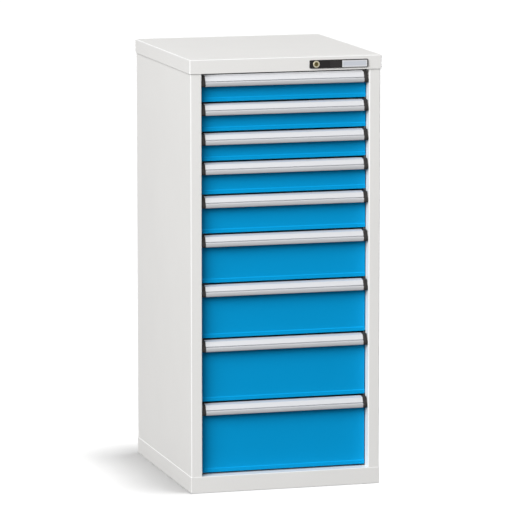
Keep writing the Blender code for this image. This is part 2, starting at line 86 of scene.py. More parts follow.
# The plug's dished face: shares of its radius, and how far behind its edge
PLUG_DISH = ((0, 0.0005), (0.55, 0.0004), (0.78, 0.0))

# Faces around the folds and the turned pieces
FRONT_FOLD_STEPS = TRAY_FOLD_STEPS = STRIP_EDGE_STEPS = CAM_CORNER_STEPS = 4
CAP_EDGE_STEPS, STRIP_CORNER_STEPS = 3, 6
RIVET_STEPS, PIN_STEPS, HOLE_STEPS, LOCK_STEPS = 12, 24, 48, 64

# The handle rail's section, in millimetres forward of the drawer front and down from the rail's top
RAIL_OUTSIDE = (
    (0.3, 24.0), (0.3, 0.0), (17.4, 3.2), (18.3, 3.6), (18.8, 4.3), (19.1, 5.3), (19.9, 7.4), (21.6, 11.4),
    (23.3, 15.4), (23.8, 16.5), (24.0, 17.0), (23.8, 17.4), (23.2, 17.5), (20.5, 17.5), (20.5, 20.0),
    (26.4, 20.0), (27.1, 20.3), (27.5, 21.1), (27.5, 22.8), (27.3, 25.0), (27.0, 27.2), (26.6, 29.2),
    (26.1, 30.8), (25.4, 32.2), (24.7, 33.0), (23.3, 33.0),
)
RAIL_INSIDE = (
    (23.3, 31.6), (24.1, 31.4), (24.7, 30.2), (25.1, 28.8), (25.5, 27.0), (25.8, 24.9), (26.0, 22.8),
    (25.6, 21.5), (19.3, 21.5), (19.3, 12.0), (19.1, 11.0), (17.6, 6.4), (17.2, 5.3), (16.6, 4.7), (2.1, 2.0),
    (2.1, 24.0),
)
RAIL_DRAWN = (27.5, 33.0)
CAP_SECTION = (
    (0.3, -0.6), (16.2, 0.8), (18.0, 1.6), (19.2, 3.0), (20.0, 5.2), (20.8, 9.0), (22.0, 12.8), (23.8, 16.0),
    (25.6, 18.8), (26.8, 21.4), (27.6, 24.6), (28.1, 27.4), (28.0, 29.6), (27.4, 31.6), (26.2, 33.1),
    (24.4, 33.6), (0.3, 33.6),
)


def linear(screen_colour):
    """Linear red, green, blue and alpha of a colour that is written as six hexadecimal digits."""
    shares = [int(screen_colour[start:start + 2], 16) / 255 for start in (0, 2, 4)]
    light = [share / 12.92 if share <= 0.04045 else ((share + 0.055) / 1.055) ** 2.4 for share in shares]
    return light + [1.0]


def size_setting(name, description, default):
    return bpy.props.FloatProperty(
        name=name, description=description, default=default, min=0.0, precision=5, subtype="DISTANCE",
        unit="LENGTH",
    )


def colour_setting(name, description, default):
    return bpy.props.FloatVectorProperty(
        name=name, description=description, default=linear(default), size=4, min=0.0, max=1.0, subtype="COLOR"
    )


def level_setting(name, description, default):
    return bpy.props.FloatProperty(name=name, description=description, default=default, min=0.0)


class CabinetSizes(bpy.types.PropertyGroup):
    """Sizes of the sheet-metal work, the rails' ends, the trays and the lock"""

    fold_radius: size_setting("Fold radius", "Outer radius of each fold in the carcass sheet", 0.0026)
    plinth_radius: size_setting("Plinth fold radius", "Outer radius of each fold in the plinth", 0.0016)
    fold_steps: bpy.props.IntProperty(
        name="Fold steps", description="Faces around each fold", default=6, min=2, max=16
    )
    carcass_sheet: size_setting("Carcass sheet", "Thickness of the carcass sheet", 0.0015)
    back_sheet: size_setting("Back sheet", "Thickness of the back panel's sheet", 0.0012)
    post_return: size_setting("Post return", "Width of the fold behind each front post", 0.012)
    rear_flange: size_setting("Rear flange", "Width of the fold at the back of each side panel", 0.022)
    foot_flange: size_setting("Foot flange", "Width of the fold under the plinth's walls", 0.024)
    front_sheet: size_setting("Front sheet", "Thickness of the drawer fronts' sheet", 0.0015)
    front_radius: size_setting("Front radius", "Outer radius of the drawer fronts' folds", 0.0012)
    lip_reach: size_setting("Lip reach", "How far each front's lower edge steps forward", 0.002)
    lip_height: size_setting("Lip height", "Height of the band below the step", 0.0105)
    lip_step: size_setting("Lip step", "Height of the sloping step itself", 0.0024)
    cap_edge: size_setting("Cap edge", "Rounding of the end caps' outer edges", 0.0009)
    tray_sheet: size_setting("Tray sheet", "Thickness of the trays' sheet", 0.0012)
    tray_radius: size_setting("Tray fold radius", "Outer radius of the trays' folds", 0.0018)
    hook_width: size_setting("Hook width", "Width of the runner hook along each tray's top", 0.009)
    hook_drop: size_setting("Hook drop", "Height of the runner hook's outer leg", 0.018)
    slot_pitch: size_setting("Slot pitch", "Distance between the divider slots along a tray", 0.020)
    slot_row: size_setting("Slot row", "Distance between two rows of divider slots", 0.025)
    slot_length: size_setting("Slot length", "Height of a divider slot", 0.010)
    slot_width: size_setting("Slot width", "Width of a divider slot", 0.004)
    rivet_pitch: size_setting("Rivet pitch", "Distance between the rivets along the back panel", 0.150)
    rivet_radius: size_setting("Rivet radius", "Radius of a rivet's head", 0.0032)
    rivet_rise: size_setting("Rivet rise", "Height of a rivet's head", 0.0012)
    strip_edge: size_setting("Strip edge", "Rounding of the lock strip's front edge", 0.0012)
    strip_corner: size_setting("Strip corner", "Corner radius of the lock strip", 0.0035)
    seat_reach: size_setting("Seat reach", "From the lock's middle to the end of its seat", 0.043)
    seat_margin: size_setting("Seat margin", "Width of the strip's rim around the lock's seat", 0.0009)
    seat_depth: size_setting("Seat depth", "How far the lock's seat lies behind the strip's face", 0.0005)
    label_border: size_setting("Label border", "Width of the white border around the label field", 0.0035)
    bezel_round: size_setting("Bezel rounding", "Rounding of the lock bezel's rim", 0.0007)


class CabinetColours(bpy.types.PropertyGroup):
    """Colours of the finishes"""

    light_grey: colour_setting("Light grey", "Powder coat of the carcass", "E6E5E3")
    # A painted highlight: the paler grey that the finish puts on the carcass's folds
    grey_fold_highlight: colour_setting("Grey on folds", "The same coat where it is thin, on the folds", "EBEBEA")
    blue: colour_setting("Blue", "Powder coat of the drawer fronts", "0092CC")
    # A painted highlight: the paler blue on the fronts' folds and on their lips' sloping steps
    blue_fold_highlight: colour_setting("Blue on folds", "The same coat where it is thin, on the folds", "049DDA")
    aluminium: colour_setting("Aluminium", "Anodised handle rails", "CFD0D3")
    black: colour_setting("Black", "Grained plastic of the caps and the lock strip", "2E2C2B")
    smooth_black: colour_setting("Smooth black", "Smooth plastic of the lock's seat", "222121")
    zinc: colour_setting("Zinc", "Plated steel of the trays and runners", "BEC0C1")
    card: colour_setting("Card", "Blank label card", "C8CCD4")
    white: colour_setting("White", "Border of the label card", "D9DADD")
    nickel: colour_setting("Nickel", "Plated bezel of the lock", "D0C9B0")
    brass: colour_setting("Brass", "Dulled plug of the lock", "6F6541")


class CabinetStage(bpy.types.PropertyGroup):
    """Camera and lamps"""

    camera_place: bpy.props.FloatVectorProperty(
        name="Camera place", description="Where the camera stands", default=(-3.3910, -12.0241, 2.5644),
        subtype="XYZ", unit="LENGTH",
    )
    camera_turn: bpy.props.FloatVectorProperty(
        name="Camera turn", description="How the camera is turned",
        default=[math.radians(angle) for angle in (81.2297, 0.0, -15.8399)], subtype="EULER", unit="ROTATION",
    )
    camera_lens: bpy.props.FloatProperty(
        name="Lens", description="Focal length for a sensor 36 mm wide", default=283.33, min=1.0,
        unit="CAMERA",
    )
    sky_level: level_setting("Sky level", "Even light from all around", 0.28)
    key_level: level_setting("Key level", "Light of the front-left softbox on a face turned to it", 1.44)
    rail_level: level_setting("Rail level", "Light that a higher softbox gives the rails", 1.47)
    top_rail_level: level_setting(
        "Top rail level", "Light that the highest softbox gives the rail under the lid", 1.62
    )
    fill_level: level_setting("Fill level", "Light of the back-right softbox on a face turned to it", 0.7)
    floor_sun: level_setting("Floor sun", "Steep light that only the floor takes", 0.84)


def feed(tree, node, inputs):
    """Sets a node's sockets, by name or number, to values, to outputs, or to nodes, each of which stands for
    its first output."""
    for socket, value in inputs.items():
        if isinstance(value, bpy.types.Node):
            value = value.outputs[0]
        if isinstance(value, bpy.types.NodeSocket):
            tree.links.new(value, node.inputs[socket])
        else:
            node.inputs[socket].default_value = value


def add_node(tree, kind, inputs=(), **settings):
    """Adds one node with its settings, its values and its links."""
    node = tree.nodes.new(kind)
    for name, value in settings.items():
        setattr(node, name, value)
    feed(tree, node, dict(inputs))
    return node


def new_material(name):
    """A surface material with nothing set: itself, its tree and its shader."""
    material = bpy.data.materials.new(name)
    material.use_nodes = True
    return material, material.node_tree, material.node_tree.nodes["Principled BSDF"]


# A Mix node has its share in socket 0, its two numbers in 2 and 3, and its two colours in 6 and 7
TINTED = {"data_type": "RGBA", "blend_type": "MULTIPLY"}


def powder_coat(name, colour, fold_highlight, level):
    """Sprayed and baked polyester powder coat: a satin skin with faint orange peel, and a painted highlight
    on folds.
    """
    material, tree, shader = new_material(name)
    place = add_node(tree, "ShaderNodeTexCoord").outputs["Object"]
    # Film thickness wanders over about 200 mm, which shows as a barely uneven tone
    cloud = add_node(tree, "ShaderNodeTexNoise", {"Vector": place, "Scale": 5.0, "Detail": 2.0})
    tone = add_node(tree, "ShaderNodeMapRange", {"Value": cloud, "To Min": 0.975, "To Max": 1.015})
    base = add_node(tree, "ShaderNodeMix", {0: 1.0, 6: colour, 7: tone}, **TINTED)
    # Faces marked as folds are painted paler: a painted highlight where light catches the rounded folds
    fold = add_node(tree, "ShaderNodeAttribute", attribute_name="fold")
    edge = add_node(
        tree, "ShaderNodeMix", {0: fold.outputs["Fac"], 6: base.outputs[2], 7: fold_highlight}, data_type="RGBA"
    )
    # Gloss differs a little from patch to patch, about 40 mm wide
    patch = add_node(tree, "ShaderNodeTexNoise", {"Vector": place, "Scale": 25.0, "Detail": 3.0})
    rough = add_node(tree, "ShaderNodeMapRange", {"Value": patch, "To Min": 0.46, "To Max": 0.58})
    # Real orange peel is about 2 mm wide; it is drawn 5 mm wide so that it still shows from a few metres
    peel = add_node(tree, "ShaderNodeTexNoise", {"Vector": place, "Scale": 200.0, "Detail": 2.0})
    bump = add_node(tree, "ShaderNodeBump", {"Height": peel, "Strength": 1.0, "Distance": 0.00003})
    feed(tree, shader, {
        "Base Color": edge.outputs[2], "Roughness": rough, "Normal": bump, "Specular IOR Level": level,
    })
    return material


def anodised_aluminium(name, colour):
    """Extruded and anodised aluminium: a satin metal with fine die lines along the rail."""
    material, tree, shader = new_material(name)
    place = add_node(tree, "ShaderNodeTexCoord").outputs["Object"]
    # Die lines run the whole length; they are drawn about 1 mm apart, several times coarser than real ones
    along = add_node(tree, "ShaderNodeMapping", {"Vector": place, "Scale": (1.2, 900.0, 900.0)})
    streak = add_node(tree, "ShaderNodeTexNoise", {"Vector": along, "Scale": 1.0, "Detail": 3.0})
    tone = add_node(tree, "ShaderNodeMapRange", {"Value": streak, "To Min": 0.95, "To Max": 1.03})
    base = add_node(tree, "ShaderNodeMix", {0: 1.0, 6: colour, 7: tone}, **TINTED)
    rough = add_node(tree, "ShaderNodeMapRange", {"Value": streak, "To Min": 0.52, "To Max": 0.64})
    bump = add_node(tree, "ShaderNodeBump", {"Height": streak, "Strength": 1.0, "Distance": 0.00001})
    feed(tree, shader, {"Base Color": base.outputs[2], "Roughness": rough, "Normal": bump, "Metallic": 0.3})
    return material


def moulded_plastic(name, colour, roughness):
    """Injection-moulded black polypropylene: matt, with an eroded grain from the mould."""
    material, tree, shader = new_material(name)
    place = add_node(tree, "ShaderNodeTexCoord").outputs["Object"]
    # Mould grain about 1 mm across
    grain = add_node(tree, "ShaderNodeTexNoise", {"Vector": place, "Scale": 900.0, "Detail": 2.0})
    tone = add_node(tree, "ShaderNodeMapRange", {"Value": grain, "To Min": 0.90, "To Max": 1.10})
    base = add_node(tree, "ShaderNodeMix", {0: 1.0, 6: colour, 7: tone}, **TINTED)
    rough = add_node(tree, "ShaderNodeMapRange", {
        "Value": grain, "To Min": roughness - 0.06, "To Max": roughness + 0.08,
    })
    bump = add_node(tree, "ShaderNodeBump", {"Height": grain, "Strength": 1.0, "Distance": 0.00002})
    feed(tree, shader, {
        "Base Color": base.outputs[2], "Roughness": rough, "Normal": bump, "Specular IOR Level": 0.2,
    })
    return material


def zinc_plate(name, colour):
    """Zinc-plated sheet steel: a grey metal whose small crystals and clouds differ in gloss."""
    material, tree, shader = new_material(name)
    place = add_node(tree, "ShaderNodeTexCoord").outputs["Object"]
    # Crystals about 7 mm across
    crystal = add_node(tree, "ShaderNodeTexVoronoi", {"Vector": place, "Scale": 140.0})
    patch = add_node(tree, "ShaderNodeSeparateColor", {0: crystal.outputs["Color"]})
    cloud = add_node(tree, "ShaderNodeTexNoise", {"Vector": place, "Scale": 18.0, "Detail": 4.0})
    both = add_node(tree, "ShaderNodeMix", {0: 0.55, 2: patch, 3: cloud}, data_type="FLOAT")
    tone = add_node(tree, "ShaderNodeMapRange", {"Value": both, "To Min": 0.88, "To Max": 1.06})
    base = add_node(tree, "ShaderNodeMix", {0: 1.0, 6: colour, 7: tone}, **TINTED)
    rough = add_node(tree, "ShaderNodeMapRange", {"Value": both, "To Min": 0.48, "To Max": 0.34})
    feed(tree, shader, {"Base Color": base.outputs[2], "Roughness": rough, "Metallic": 1.0})
    return material


def plain_card(name, colour, gloss):
    """Printed-stock card behind a thin clear cover: paper fibre in the tone, a smooth coat above it."""
    material, tree, shader = new_material(name)
    place = add_node(tree, "ShaderNodeTexCoord").outputs["Object"]
    # Paper fibre about 0.8 mm long
    fibre = add_node(tree, "ShaderNodeTexNoise", {"Vector": place, "Scale": 1200.0, "Detail": 3.0})
    tone = add_node(tree, "ShaderNodeMapRange", {"Value": fibre, "To Min": 0.97, "To Max": 1.02})
    base = add_node(tree, "ShaderNodeMix", {0: 1.0, 6: colour, 7: tone}, **TINTED)
    feed(tree, shader, {
        "Base Color": base.outputs[2], "Roughness": 0.6, "Coat Weight": gloss, "Coat Roughness": 0.12,
    })
    return material


def turned_metal(name, colour, roughness):
    """Turned and plated lock metal: bright, slightly dulled by tarnish."""
    material, tree, shader = new_material(name)
    place = add_node(tree, "ShaderNodeTexCoord").outputs["Object"]
    # Tarnish in patches about 4 mm wide
    stain = add_node(tree, "ShaderNodeTexNoise", {"Vector": place, "Scale": 260.0, "Detail": 4.0})
    tone = add_node(tree, "ShaderNodeMapRange", {"Value": stain, "To Min": 0.84, "To Max": 1.06})
    base = add_node(tree, "ShaderNodeMix", {0: 1.0, 6: colour, 7: tone}, **TINTED)
    rough = add_node(tree, "ShaderNodeMapRange", {
        "Value": stain, "To Min": roughness + 0.1, "To Max": roughness - 0.04,
    })
    feed(tree, shader, {"Base Color": base.outputs[2], "Roughness": rough, "Metallic": 1.0})
    return material


# Each slot's maker, the material's name, its colours and the maker's last value
FINISHES = {
    "light_grey_powder_coat": (powder_coat, "light_grey_powder_coat", ("light_grey", "grey_fold_highlight"), 0.25),
    "blue_powder_coat": (powder_coat, "blue_powder_coat", ("blue", "blue_fold_highlight"), 0.08),
    "anodised_aluminium": (anodised_aluminium, "anodised_aluminium", ("aluminium",)),
    "black_plastic": (moulded_plastic, "black_grained_plastic", ("black",), 0.5),
    "smooth_black_plastic": (moulded_plastic, "black_smooth_plastic", ("smooth_black",), 0.32),
    "zinc_plated_steel": (zinc_plate, "zinc_plated_steel", ("zinc",)),
    "label_card": (plain_card, "blank_label_card", ("card",), 0.4),
    "label_border": (plain_card, "white_label_border", ("white",), 0.4),
    "nickel_plated_lock": (turned_metal, "nickel_plated_zinc", ("nickel",), 0.38),
    "brass_lock_plug": (turned_metal, "dulled_brass", ("brass",), 0.38),
}
MADE_FINISHES = {}


def finish_of(slot):
    """The material of one slot, made the first time that it is asked for."""
    if slot not in MADE_FINISHES:
        maker, name, colours, *values = FINISHES[slot]
        chosen = bpy.context.scene.cabinet_colours
        MADE_FINISHES[slot] = maker(name, *(list(getattr(chosen, colour)) for colour in colours), *values)
    return MADE_FINISHES[slot]


def folded(points, radius, steps):
    """The path with an arc in place of each inner corner, and whether each of its stretches is on an arc."""
    corners = [Vector(point) for point in points]
    path, fold_highlight = [corners[0]], []
    for before, corner, after in zip(corners, corners[1:], corners[2:]):
        towards = (before - corner).normalized()
        onwards = (after - corner).normalized()
        half_angle = towards.angle(onwards) / 2
        centre = corner + (towards + onwards).normalized() * radius / math.sin(half_angle)
        first = corner + towards * radius / math.tan(half_angle) - centre
        last = corner + onwards * radius / math.tan(half_angle) - centre
        turn = math.atan2(first.cross(last), first.dot(last))
        start = math.atan2(first.y, first.x)
        for step in range(steps + 1):
            angle = start + turn * step / steps
            path.append(centre + radius * Vector((math.cos(angle), math.sin(angle))))
            fold_highlight.append(1.0 if step else 0.0)
    return path + [corners[-1]], fold_highlight + [0.0]


def set_back(path, distance):
    """The path moved to its right by the distance, with mitred corners."""
    moved = []
    for index, point in enumerate(path):
        normals = []
        for near, far in ((index - 1, index), (index, index + 1)):
            if near >= 0 and far < len(path):
                step = (path[far] - path[near]).normalized()
                normals.append(Vector((step.y, -step.x)))
        middle = sum(normals, Vector((0, 0))).normalized()
        moved.append(point + middle * distance / middle.dot(normals[0]))
    return moved


def in_space(point, along, distance):
    """A point of a flat drawing, at a distance along the axis that the drawing is swept on."""
    first, second = point
    return Vector({
        "X": (distance, first, second), "Y": (first, distance, second), "Z": (first, second, distance),
    }[along])


def fold_highlight_layer(bm):
    """What tells the finish which faces lie on a fold, where it paints a highlight."""
    return bm.faces.layers.float.get("fold") or bm.faces.layers.float.new("fold")


def add_sheet(bm, points, radius, steps, thickness, along, start, end):
    """A folded sheet as a closed solid: the path is its left-hand surface, with the metal to its right."""
    layer = fold_highlight_layer(bm)
    path, fold_highlight = folded(points, radius, steps)
    rows = []
    for line in (path, set_back(path, thickness)):
        for distance in (start, end):
            rows.append([bm.verts.new(in_space(point, along, distance)) for point in line])
    outer_start, outer_end, inner_start, inner_end = rows
    faces = []
    for index in range(len(path) - 1):
        for first, second in (
            (outer_start, outer_end), (inner_end, inner_start), (outer_end, inner_end),
            (inner_start, outer_start),
        ):
            faces.append(bm.faces.new((first[index], first[index + 1], second[index + 1], second[index])))
            # Faces on a fold's arc take the painted highlight
            faces[-1][layer] = fold_highlight[index]
    for index in (0, -1):
        faces.append(bm.faces.new([row[index] for row in (outer_start, outer_end, inner_end, inner_start)]))
    bmesh.ops.recalc_face_normals(bm, faces=faces)


def add_band(bm, first, second):
    """Faces between two closed rows of points."""
    return [
        bm.faces.new((first[index - 1], first[index], second[index], second[index - 1]))
        for index in range(len(first))
    ]


def add_prism(bm, outline, along, start, end):
    """A closed solid: the outline, swept along one axis. Gives back its two ends."""
    near = [bm.verts.new(in_space(point, along, start)) for point in outline]
    far = [bm.verts.new(in_space(point, along, end)) for point in outline]
    ends = [bm.faces.new(near), bm.faces.new(far)]
    bmesh.ops.recalc_face_normals(bm, faces=ends + add_band(bm, near, far))
    return ends


def prism(outline, along, start, end):
    """A mesh of one such solid alone."""
    bm = bmesh.new()
    add_prism(bm, outline, along, start, end)
    return bm


def add_plate(bm, low, high):
    """A flat plate between two corners."""
    outline = [(low[0], low[1]), (high[0], low[1]), (high[0], high[1]), (low[0], high[1])]
    add_prism(bm, outline, "Z", low[2], high[2])


def lathe(profile, x, z, steps):
    """A mesh turned about the Y axis through x and z: the profile pairs each radius with a y, and is closed
    either by itself or by the axis."""
    bm = bmesh.new()
    rings = []
    for radius, y in profile:
        turns = [math.tau * step / steps for step in range(steps if radius > 0 else 1)]
        rings.append([
            bm.verts.new((x + radius * math.cos(turn), y, z + radius * math.sin(turn))) for turn in turns
        ])
    closed = profile[0][0] > 0
    for first, second in list(zip(rings, rings[1:])) + ([(rings[-1], rings[0])] if closed else []):
        for step in range(steps):
            follower = (step + 1) % steps
            corners = [first[step % len(first)], first[follower % len(first)]]
            corners += [second[follower % len(second)], second[step % len(second)]]
            bm.faces.new(list(dict.fromkeys(corners)))
    bmesh.ops.recalc_face_normals(bm, faces=bm.faces)
    return bm


def rounded_rectangle(left, foot, right, head, radius=SMALL_CORNER, steps=SMALL_CORNER_STEPS):
    """A rectangle's outline with a quarter arc at each corner."""
    centres = (
        (right - radius, head - radius), (left + radius, head - radius),
        (left + radius, foot + radius), (right - radius, foot + radius),
    )
    outline = []
    for quarter, centre in enumerate(centres):
        for step in range(steps + 1):
            angle = math.radians(90) * (quarter + step / steps)
            outline.append((centre[0] + radius * math.cos(angle), centre[1] + radius * math.sin(angle)))
    return outline


def round_edges(bm, edges, radius, steps):
    """Rounds these edges and marks the new faces as folds, which take the painted highlight."""
    layer = fold_highlight_layer(bm)
    made = bmesh.ops.bevel(
        bm, geom=edges, offset=radius, segments=steps, profile=0.5, affect="EDGES", clamp_overlap=True,
    )
    for face in made["faces"]:
        face[layer] = 1.0


def sharp_edges(bm, least):
    """The edges between two faces that meet at more than this many degrees."""
    bm.normal_update()
    return [
        edge for edge in bm.edges
        if len(edge.link_faces) == 2 and edge.calc_face_angle() > math.radians(least)
    ]


def drop_face(bm, direction):
    """Opens a closed shape on the side that looks along the direction."""
    bm.normal_update()
    furthest = max(bm.faces, key=lambda face: face.normal.dot(Vector(direction)))
    bmesh.ops.delete(bm, geom=[furthest], context="FACES_ONLY")


def new_object(name, bm):
    mesh = bpy.data.meshes.new(name)
    bm.to_mesh(mesh)
    bm.free()
    made = bpy.data.objects.new(name, mesh)
    bpy.context.scene.collection.objects.link(made)
    return made


def settle(made):
    """Turns the object's modifiers into one plain mesh."""
    bpy.context.view_layer.update()
    evaluated = made.evaluated_get(bpy.context.evaluated_depsgraph_get())
    plain = bpy.data.meshes.new_from_object(evaluated)
    made.modifiers.clear()
    made.data = plain
    return made


def open_box(low, high, direction):
    """A mesh of the box between two corners, open on the side that looks along the direction."""
    bm = bmesh.new()
    add_plate(bm, low, high)
    drop_face(bm, direction)
    return bm


def fold_up(name, bm, radius, steps, thickness, least=30.0):
    """Makes sheet metal of an open surface: rounds its sharper edges, and adds its inner side."""
    round_edges(bm, sharp_edges(bm, least), radius, steps)
    made = new_object(name, bm)
    wall = made.modifiers.new("wall", "SOLIDIFY")
    wall.thickness = thickness
    wall.offset = -1
    wall.use_even_offset = True
    return settle(made)


def carve(made, bm, operation="DIFFERENCE"):
    """Cuts or joins a second closed shape."""
    tool = new_object(made.name + "_tool", bm)
    change = made.modifiers.new("carve", "BOOLEAN")
    change.operation = operation
    change.solver = "EXACT"
    change.object = tool
    settle(made)
    bpy.data.objects.remove(tool, do_unlink=True)


def lock_hole(front, back):
    """A cutter for the lock's round hole, from one y to another."""
    low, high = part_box("lock_barrel")
    middle = (low + high) / 2
    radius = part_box("lock_core")[1].z - middle.z + HOLE_MARGIN
    return lathe([(0, front), (radius, front), (radius, back), (0, back)], middle.x, middle.z, HOLE_STEPS)


def paint(mesh, finish):
    mesh.materials.clear()
    mesh.materials.append(finish_of(finish))


def dress(made, slot, body, *nodes, finish=None):
    """Shades a piece, gives it its finish, and lets it ride on its body in place of these nodes."""
    mesh = made.data
    paint(mesh, finish or slot)
    # A cut can leave faces that ask for a second material
    for face in mesh.polygons:
        face.material_index = 0
    mesh.shade_smooth()
    mesh.set_sharp_from_angle(angle=SMOOTH_ANGLE)
    flat = made.modifiers.new("flat faces stay flat", "WEIGHTED_NORMAL")
    flat.keep_sharp = True
    flat.weight = 100
    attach(made, body)
    if nodes:
        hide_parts(*nodes)


def named_drawer(number, piece):
    return "drawer_%d_%s" % (number, piece)


def each_drawer(piece):
    """For every drawer: its number, its body, and the name and the box of one of its nodes."""
    for number in DRAWERS:
        node = named_drawer(number, piece)
        yield number, "drawer_%d" % number, node, *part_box(node)


def front_plane(number, sizes):
    """The y of one drawer front's main face, which stands behind the lip."""
    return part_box(named_drawer(number, "front"))[0].y + sizes.lip_reach


def on_rail(number, section):
    """A drawn section in metres, fitted to the box of one drawer's handle."""
    low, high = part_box(named_drawer(number, "handle"))
    back = high.y + SEAT_GAP
    deep = (back - low.y) / RAIL_DRAWN[0]
    tall = (high.z - low.z) / RAIL_DRAWN[1]
    return [(back - forward * deep, high.z - down * tall) for forward, down in section]


class CABINET_OT_side_panels(bpy.types.Operator):
    """Two side panels, each one sheet folded into post, side and rear flange"""

    bl_idname = "cabinet.side_panels"
    bl_label = "Side panels"

    def execute(self, context):
        sizes = context.scene.cabinet_sizes
        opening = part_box("drawer_1_front")[1].x + POST_GAP
        post_depth = front_plane(1, sizes) + sizes.carcass_sheet
        for word, side in SIDES.items():
            node = word + "_side_panel"
            low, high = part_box(node)
            outer = max(abs(low.x), abs(high.x))
            corners = [
                (outer - sizes.rear_flange, high.y), (outer, high.y), (outer, low.y), (opening, low.y),
                (opening, post_depth), (opening + sizes.post_return, post_depth),
            ]
            points = [(side * x, y) for x, y in corners][::side]
            bm = bmesh.new()
            add_sheet(
                bm, points, sizes.fold_radius, sizes.fold_steps, sizes.carcass_sheet, "Z", low.z, high.z
            )
            dress(new_object(word + "_side_shell", bm), "light_grey_powder_coat", "cabinet", node)
        return {"FINISHED"}


class CABINET_OT_back_panel(bpy.types.Operator):
    """Back panel: a shallow pan between the rear flanges"""

    bl_idname = "cabinet.back_panel"
    bl_label = "Back panel"

    def execute(self, context):
        sizes = context.scene.cabinet_sizes
        bm = open_box(*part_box("back_panel"), (0, -1, 0))
        panel = fold_up("back_sheet", bm, sizes.tray_radius, sizes.fold_steps, sizes.back_sheet)
        dress(panel, "light_grey_powder_coat", "cabinet", "back_panel")
        return {"FINISHED"}


class CABINET_OT_top_cover(bpy.types.Operator):
    """Top cover: a folded lid with welded corners and a hole for the lock"""

    bl_idname = "cabinet.top_cover"
    bl_label = "Top cover"

    def execute(self, context):
        sizes = context.scene.cabinet_sizes
        low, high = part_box("top_cover")
        bm = open_box(low, high, (0, 0, -1))
        cover = fold_up("lid", bm, sizes.fold_radius, sizes.fold_steps, sizes.carcass_sheet)
        carve(cover, lock_hole(low.y - COVER_CUT, low.y + COVER_CUT))
        dress(cover, "light_grey_powder_coat", "cabinet", "top_cover")
        return {"FINISHED"}


class CABINET_OT_plinth(bpy.types.Operator):
    """Plinth: a folded tray turned upside down, with a foot flange inside its walls"""

    bl_idname = "cabinet.plinth"
    bl_label = "Plinth"

    def execute(self, context):
        sizes = context.scene.cabinet_sizes
        low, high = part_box("base_plinth")
        bm = open_box(low, high, (0, 0, -1))
        middle = (low + high) / 2
        rim = [edge for edge in bm.edges if edge.is_boundary]
        turned = bmesh.ops.extrude_edge_only(bm, edges=rim)["geom"]
        for vert in (item for item in turned if isinstance(item, bmesh.types.BMVert)):
            vert.co.x -= math.copysign(sizes.foot_flange, vert.co.x - middle.x)
            vert.co.y -= math.copysign(sizes.foot_flange, vert.co.y - middle.y)
        plinth = fold_up("plinth", bm, sizes.plinth_radius, sizes.fold_steps, sizes.carcass_sheet)
        dress(plinth, "light_grey_powder_coat", "cabinet", "base_plinth")
        return {"FINISHED"}


class CABINET_OT_runner_walls(bpy.types.Operator):
    """Runner walls with their channels, and the locking bar behind the right post"""

    bl_idname = "cabinet.runner_walls"
    bl_label = "Runner walls and locking bar"

    def execute(self, context):
        for node in ("left_runner_wall", "right_runner_wall", "lock_bar"):
            paint(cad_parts[node].data, "zinc_plated_steel")
        return {"FINISHED"}


def new_growth(name, inputs):
    """An empty geometry tree with these inputs besides a geometry and a material, and what it is given."""
    tree = bpy.data.node_groups.new(name, "GeometryNodeTree")
    for socket, kind in {"Geometry": "Geometry", **inputs, "Material": "Material"}.items():
        tree.interface.new_socket(socket, in_out="INPUT", socket_type="NodeSocket" + kind)
    tree.interface.new_socket("Geometry", in_out="OUTPUT", socket_type="NodeSocketGeometry")
    return tree, add_node(tree, "NodeGroupInput").outputs


def rivet_tree():
    """Repeats a rivet head up two columns."""
    tree, given = new_growth("rivet_columns", {"Count": "Int", "Pitch": "Float", "Column distance": "Float"})
    step = add_node(tree, "ShaderNodeCombineXYZ", {"Z": given["Pitch"]})
    column = add_node(tree, "GeometryNodeMeshLine", {"Count": given["Count"], "Offset": step})
    apart = add_node(tree, "ShaderNodeCombineXYZ", {"X": given["Column distance"]})
    second = add_node(tree, "GeometryNodeTransform", {"Geometry": column, "Translation": apart})
    both = add_node(tree, "GeometryNodeJoinGeometry", {0: column})
    feed(tree, both, {0: second})
    heads = add_node(tree, "GeometryNodeInstanceOnPoints", {"Points": both, "Instance": given["Geometry"]})
    real = add_node(tree, "GeometryNodeRealizeInstances", {0: heads})
    painted = add_node(tree, "GeometryNodeSetMaterial", {"Geometry": real, "Material": given["Material"]})
    add_node(tree, "NodeGroupOutput", {0: painted})
    return tree


def grow(made, tree, **values):
    """Runs a geometry tree on the object with these named inputs and keeps the result as a plain mesh."""
    growth = made.modifiers.new(tree.name, "NODES")
    growth.node_group = tree
    wanted = {name.replace("_", " ").capitalize(): value for name, value in values.items()}
    for item in tree.interface.items_tree:
        if item.in_out == "INPUT" and item.name in wanted:
            growth[item.identifier] = wanted.pop(item.name)
    if wanted:
        raise RuntimeError("the tree %s has no input named %s" % (tree.name, sorted(wanted)))
    return settle(made)


